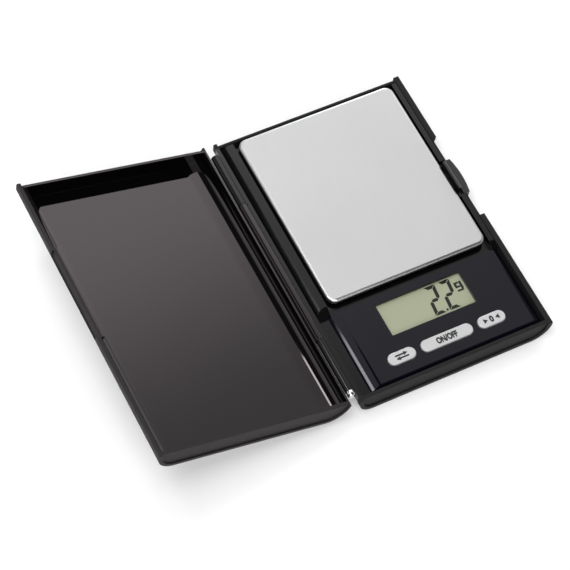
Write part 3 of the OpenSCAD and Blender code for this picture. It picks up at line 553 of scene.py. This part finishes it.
def loft(name, stacks, finish, body):
    """Skin stacks of closed rings into one piece that rides on a body."""
    build = bmesh.new()
    for rings in stacks:
        rows = [[build.verts.new(Vector(point) * MM) for point in ring] for ring in rings]
        for low, high in zip(rows, rows[1:]):
            for i, start in enumerate(low):
                j = (i + 1) % len(low)
                build.faces.new((start, low[j], high[j], high[i]))
        build.faces.new(rows[0])
        build.faces.new(rows[-1])
    bmesh.ops.recalc_face_normals(build, faces=build.faces)
    mesh = bpy.data.meshes.new(name)
    build.to_mesh(mesh)
    build.free()
    mesh.shade_smooth()
    mesh.set_sharp_from_angle(angle=math.radians(LOFT_SHARP))
    mesh.materials.append(finish)
    piece = bpy.data.objects.new(name, mesh)
    bpy.context.scene.collection.objects.link(piece)
    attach(piece, body)
    return piece


def corner_ring(centre, width, length, radius, z, steps=10):
    """Outline of a rectangle with rounded corners."""
    points = []
    for quarter, (side_x, side_y) in enumerate([(1, 1), (-1, 1), (-1, -1), (1, -1)]):
        for step in range(steps):
            angle = math.radians(90 * (quarter + (step + 0.5) / steps))
            points.append((centre[0] + side_x * (width / 2 - radius) + radius * math.cos(angle),
                           centre[1] + side_y * (length / 2 - radius) + radius * math.sin(angle), z))
    return points


def rolled(centre, width, length, corner, top, edge, steps=6):
    """Rings that roll a vertical wall over into a flat top, with a narrow level brim."""
    rings = []
    for step in range(steps + 1):
        angle = math.radians(90 * step / steps)
        inset = edge * (1 - math.cos(angle))
        rings.append(corner_ring(centre, width - 2 * inset, length - 2 * inset, corner - inset,
                                 top - edge * (1 - math.sin(angle))))
    brim = edge + BRIM
    rings.append(corner_ring(centre, width - 2 * brim, length - 2 * brim, corner - brim, top))
    return rings


def node_box(name):
    """Lowest and highest corner of a node, in mm."""
    low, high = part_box(name)
    return [c / MM for c in low], [c / MM for c in high]


print("a ring has", len(corner_ring((0, 0), 10, 10, 2, 0)), "points")

# %% [markdown]
# ## The weighing plate
# The plate is pressed from thin stainless sheet: its rim is folded down, and the fold leaves a
# rounded edge that shines white all the way round. Fine brushing along its length makes the
# face satin, so it takes its tone from a wide part of the room.

# %% Weighing plate
PLATE_CORNER = 3.8
SHEET = 0.6
FOLD = 1.15
low, high = node_box("platform_plate")
centre = ((low[0] + high[0]) / 2, (low[1] + high[1]) / 2)
width = high[0] - low[0]
length = high[1] - low[1]
# Brushed along its length: a calm satin face, and a rim that the press has rubbed smoother
brushed_stainless = grained("stainless_pressed_and_brushed", "#c5c5c5", "#cdcdce", (0.40, 0.52),
                            (0.15, 12, 2), 0.0012, cloud_mm=40,
                            rim=(centre, (width / 2 - FOLD, length / 2 - FOLD)), Metallic=1.0)
inside = [corner_ring(centre, width - 2 * SHEET, length - 2 * SHEET, PLATE_CORNER - SHEET, z)
          for z in (high[2] - SHEET, low[2])]
outside = [corner_ring(centre, width, length, PLATE_CORNER, low[2])]
top = rolled(centre, width, length, PLATE_CORNER, high[2], FOLD)
plate = loft("weighing_plate", [inside + outside + top], brushed_stainless, "platform")
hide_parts("platform_plate")
print("plate:", round(width, 1), "x", round(length, 1), "mm")

# %% [markdown]
# ## The keys
# Each key is moulded ABS with a silver paint. Fine aluminium flake in the paint gives a soft,
# even shine. A cap with a rounded top stands in the panel's slot, a flange below keeps it in,
# and a foot rests on the dome.

# %% Keys
silver_paint = grained("abs_silver_flake_painted", "#c0c0c1", "#c7c7c8", (0.32, 0.42),
                       (0.12, 0.12, 0.12), 0.001, Metallic=0.25, IOR=1.5)
FLANGE_W = 0.6
FLANGE_TOP = 6.9
FLANGE_LOW = 6.2
FOOT_R = 1.5
KEY_ROLL = 0.35
KEY_BODIES = {"unit_key": "unit_button", "power_key": "power_button", "tare_key": "tare_button"}
key_centres = {}
for node, body in KEY_BODIES.items():
    low, high = node_box(node)
    centre = ((low[0] + high[0]) / 2, (low[1] + high[1]) / 2)
    length = high[0] - low[0] - 2 * FLANGE_W
    width = high[1] - low[1] - 2 * FLANGE_W
    foot = [corner_ring(centre, 2 * FOOT_R, 2 * FOOT_R, FOOT_R, z) for z in (low[2], FLANGE_LOW)]
    flange = [corner_ring(centre, length + 2 * FLANGE_W, width + 2 * FLANGE_W,
                          width / 2 + FLANGE_W, z) for z in (FLANGE_LOW, FLANGE_TOP)]
    cap = [corner_ring(centre, length, width, width / 2, FLANGE_TOP)]
    cap += rolled(centre, length, width, width / 2, high[2], KEY_ROLL)
    key = loft(node + "_cap", [foot + flange + cap], silver_paint, body)
    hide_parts(node)
    key_centres[node] = (*centre, high[2])
    print(node, "is", round(length, 1), "x", round(width, 1), "mm")

# %% [markdown]
# ## Marks on the keys
# The marks are pad printed: a thin film of dark ink. They are generic signs: ON/OFF on the
# middle key, two arrows for changing over on the left key and a zero between two pointers on
# the right key. The letters come from the built-in font, squeezed to a narrow width, and the
# others are small outlines. All stand about a hundredth of a millimetre proud, as ink does.

# %% Printed marks
INK = 0.015
LETTER_H = 2.9
LETTER_WEIGHT = 0.06
# Dried pad ink: near black and half matt, so it stays dark beside the shining paint
pad_ink = grained("ink_pad_printed_black", "#0b0b0c", "#121213", (0.4, 0.55), (0.3, 0.3, 0.3),
                  0.001, IOR=1.5)


def lettering(name, text, centre, width, finish, body):
    """Letters of the built-in font, as a thin mesh of an exact size."""
    curve = bpy.data.curves.new(name, "FONT")
    curve.body = text
    curve.extrude = 0.5
    curve.offset = LETTER_WEIGHT
    draft = bpy.data.objects.new(name + "_draft", curve)
    bpy.context.scene.collection.objects.link(draft)
    bpy.context.view_layer.update()
    solid = draft.evaluated_get(bpy.context.evaluated_depsgraph_get())
    mesh = bpy.data.meshes.new_from_object(solid)
    bpy.data.objects.remove(draft)
    bpy.data.curves.remove(curve)
    spans = [(min(v.co[a] for v in mesh.vertices), max(v.co[a] for v in mesh.vertices))
             for a in (0, 1)]
    for vertex in mesh.vertices:
        x, y = [(vertex.co[a] - spans[a][0]) / (spans[a][1] - spans[a][0]) - 0.5 for a in (0, 1)]
        z = INK if vertex.co.z > 0 else 0
        vertex.co = Vector((centre[0] + x * width, centre[1] + y * LETTER_H, centre[2] + z)) * MM
    mesh.name = name
    mesh.materials.clear()
    mesh.materials.append(finish)
    piece = bpy.data.objects.new(name, mesh)
    bpy.context.scene.collection.objects.link(piece)
    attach(piece, body)
    return piece


def flat_marks(name, outlines, centre, finish, body):
    """Thin plates from flat outlines, drawn round a centre."""
    stacks = [[[(centre[0] + x, centre[1] + y, centre[2] + z) for x, y in outline]
               for z in (0, INK)] for outline in outlines]
    return loft(name, stacks, finish, body)


lettering("power_key_mark", "ON/OFF", key_centres["power_key"], 9.2, pad_ink, "power_button")
arrow = [(-2.7, 0.35), (1.0, 0.35), (1.0, -0.15), (2.7, 0.75), (1.0, 1.65), (1.0, 1.05),
         (-2.7, 1.05)]
flat_marks("unit_key_mark", [arrow, [(-x, -y) for x, y in arrow]], key_centres["unit_key"],
           pad_ink, "unit_button")
lettering("tare_key_mark", "0", key_centres["tare_key"], 1.7, pad_ink, "tare_button")
pointer = [(1.6, 0.0), (3.4, 1.1), (3.4, -1.1)]
flat_marks("tare_key_pointers", [pointer, [(-x, -y) for x, y in pointer]],
           key_centres["tare_key"], pad_ink, "tare_button")
print("marks on", len(key_centres), "keys")

# %% [markdown]
# ## Figures on the display
# Each figure is drawn from straight segments with mitred ends and a hair of space between
# them, leaning a few degrees. A dark segment is the crystal turned on, so it looks like soft
# black ink just under the film. Here the segments are thin plates on the cell.

# %% Segments
DIGIT_W = 4.8
DIGIT_H = 13.0
STROKE = 1.4
GAP = 0.14
LEAN = math.tan(math.radians(5.5))
PITCH = 6.35
MID = DIGIT_H / 2
HALF = STROKE / 2
DOT_BACK = 0.9
FIGURES_AT = (45.1, -41.3)
SIGN_AT = (59.7, -33.2)
# Crystal turned on: a dull black without a shine of its own
segment_black = grained("liquid_crystal_dark_segment", "#0b0c08", "#10120b", (0.45, 0.55),
                        (0.4, 0.4, 0.4), 0.0005, IOR=1.4)
bar = [(GAP, DIGIT_H), (DIGIT_W - GAP, DIGIT_H), (DIGIT_W - STROKE - GAP, DIGIT_H - STROKE),
       (STROKE + GAP, DIGIT_H - STROKE)]
upright = [(DIGIT_W, DIGIT_H - GAP), (DIGIT_W, MID + HALF), (DIGIT_W - HALF, MID + GAP),
           (DIGIT_W - STROKE, MID + HALF + GAP), (DIGIT_W - STROKE, DIGIT_H - STROKE - GAP)]
middle = [(HALF + GAP, MID), (STROKE + GAP, MID + HALF), (DIGIT_W - STROKE - GAP, MID + HALF),
          (DIGIT_W - HALF - GAP, MID), (DIGIT_W - STROKE - GAP, MID - HALF),
          (STROKE + GAP, MID - HALF)]
two = [bar, upright, middle]
two += [[(DIGIT_W - x, DIGIT_H - y) for x, y in outline] for outline in (bar, upright)]
dot = [(-0.5, 0.35), (0.4, 0.35), (0.4, 1.25), (-0.5, 1.25)]
outlines = [[(x + shift, y) for x, y in outline] for shift in (0, PITCH) for outline in two]
outlines.append([(x + PITCH - DOT_BACK, y) for x, y in dot])
leaning = [[(x + y * LEAN, y) for x, y in outline] for outline in outlines]
glass_top = node_box("lcd_glass")[1][2]
flat_marks("display_figures", leaning, (*FIGURES_AT, glass_top), segment_black, "base")
# The unit sign is a small g in the same manner: its left, right, top, middle and bottom strokes
sign = [(-1.6, 0.3, -0.6, 1.5), (0.6, -1.3, 1.6, 2.2), (-1.5, 1.4, 0.5, 2.2),
        (-1.5, -0.4, 0.5, 0.4), (-1.4, -2.1, 1.3, -1.3)]
boxes = [[(x, y), (far_x, y), (far_x, far_y), (x, far_y)] for x, y, far_x, far_y in sign]
flat_marks("display_unit_sign", boxes, (*SIGN_AT, glass_top), segment_black, "base")
print("segments:", len(leaning), "strokes in the sign:", len(boxes))

# %% [markdown]
# ## Screws
# The case is held by four black screws and the beam by two zinc-plated ones, all driven from
# below; two more hold the carrier on top of the beam. Each has a rounded head with a cross
# recess and a threaded shank. A stack of rings makes all of it: the ring round the recess is a
# cross with as many points as the circles, so it joins to them without a cut.

# %% Screws
ARM_ANGLE = 24
TURNS = [quarter * 90 + step for quarter in range(4)
         for step in (0, ARM_ANGLE / 2, ARM_ANGLE, 34, 45, 56, 90 - ARM_ANGLE, 90 - ARM_ANGLE / 2)]
THREAD_STEP = 0.25
HEAD_T = 1.0
# Shares of the shank's radius at the tip, in the thread's grooves and under the head
TIP_R = 0.55
GROOVE_R = 0.8
NECK_R = 0.9
# Shares of the head: the recess at its face and at its floor, and how deep that lies
RECESS_R = 0.58
FLOOR_R = 0.42
FLOOR_DEPTH = 0.65
# Each pair is a share of the head's radius and the share of its thickness below the face
CROWN = ((1.0, 0.5), (0.97, 0.25), (0.88, 0.08), (0.74, 0.0))
# Black oxide: a thin dark film with a dull metal shine
black_steel = grained("steel_black_oxide", "#202124", "#2c2d30", (0.3, 0.45), (0.6, 0.6, 0.6),
                      0.002, Metallic=1.0)
# Zinc plate: pale, slightly blue and cloudy
zinc_steel = grained("steel_zinc_plated", "#a3a7ab", "#b9bdc1", (0.22, 0.36), (0.8, 0.8, 0.8),
                     0.001, Metallic=1.0)


def around(centre, reach, degrees, z):
    """Point at a distance from a centre, in the direction of a turn."""
    turn = math.radians(degrees)
    return centre[0] + reach * math.cos(turn), centre[1] + reach * math.sin(turn), z


def round_ring(centre, radius, z):
    """Circle of as many points as the recess."""
    return [around(centre, radius, a, z) for a in TURNS]


def cross_ring(centre, arm, z):
    """Outline of a cross with arms of the given length."""
    half_arm = arm * math.tan(math.radians(ARM_ANGLE))
    points = []
    for a in TURNS:
        off = min(a % 90, 90 - a % 90)
        if off <= ARM_ANGLE:
            reach = arm / math.cos(math.radians(off))
        else:
            reach = half_arm / math.sin(math.radians(off))
        points.append(around(centre, reach, a, z))
    return points


def screw(centre, face, tip, head_r, shank_r):
    """Rings from the tip of the shank to the bottom of the recess in the head's face."""
    out = 1 if face > tip else -1
    seat = face - out * HEAD_T
    turns = int(abs(seat - tip) / THREAD_STEP)
    rings = [round_ring(centre, shank_r * TIP_R, tip)]
    for turn in range(1, turns):
        radius = shank_r * (1.0 if turn % 2 else GROOVE_R)
        rings.append(round_ring(centre, radius, tip + (seat - tip) * turn / turns))
    rings += [round_ring(centre, shank_r * NECK_R, seat), round_ring(centre, head_r, seat)]
    for share_r, depth in CROWN:
        rings.append(round_ring(centre, head_r * share_r, face - out * HEAD_T * depth))
    rings.append(cross_ring(centre, head_r * RECESS_R, face))
    rings.append(cross_ring(centre, head_r * FLOOR_R, face - out * HEAD_T * FLOOR_DEPTH))
    return rings


def screws_for(node, finish, body, head_r, shank_r, up):
    """Replace a node's screws, whose places are the corners or ends of its box."""
    low, high = node_box(node)
    xs = sorted({round(low[0] + head_r, 3), round(high[0] - head_r, 3)})
    ys = sorted({round(low[1] + head_r, 3), round(high[1] - head_r, 3)})
    face, tip = (high[2], low[2]) if up else (low[2], high[2])
    stacks = [screw((x, y), face, tip, head_r, shank_r) for x in xs for y in ys]
    piece = loft(node + "_with_recess", stacks, finish, body)
    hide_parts(node)
    print(node, "becomes", len(stacks), "screws")


screws_for("case_screws", black_steel, "base", 1.8, 1.0, False)
screws_for("beam_screws", zinc_steel, "base", 2.3, 1.25, False)
screws_for("carrier_screws", zinc_steel, "platform", 2.3, 1.25, True)

# %% [markdown]
# ## The end

# %% Finish
print("scene built")
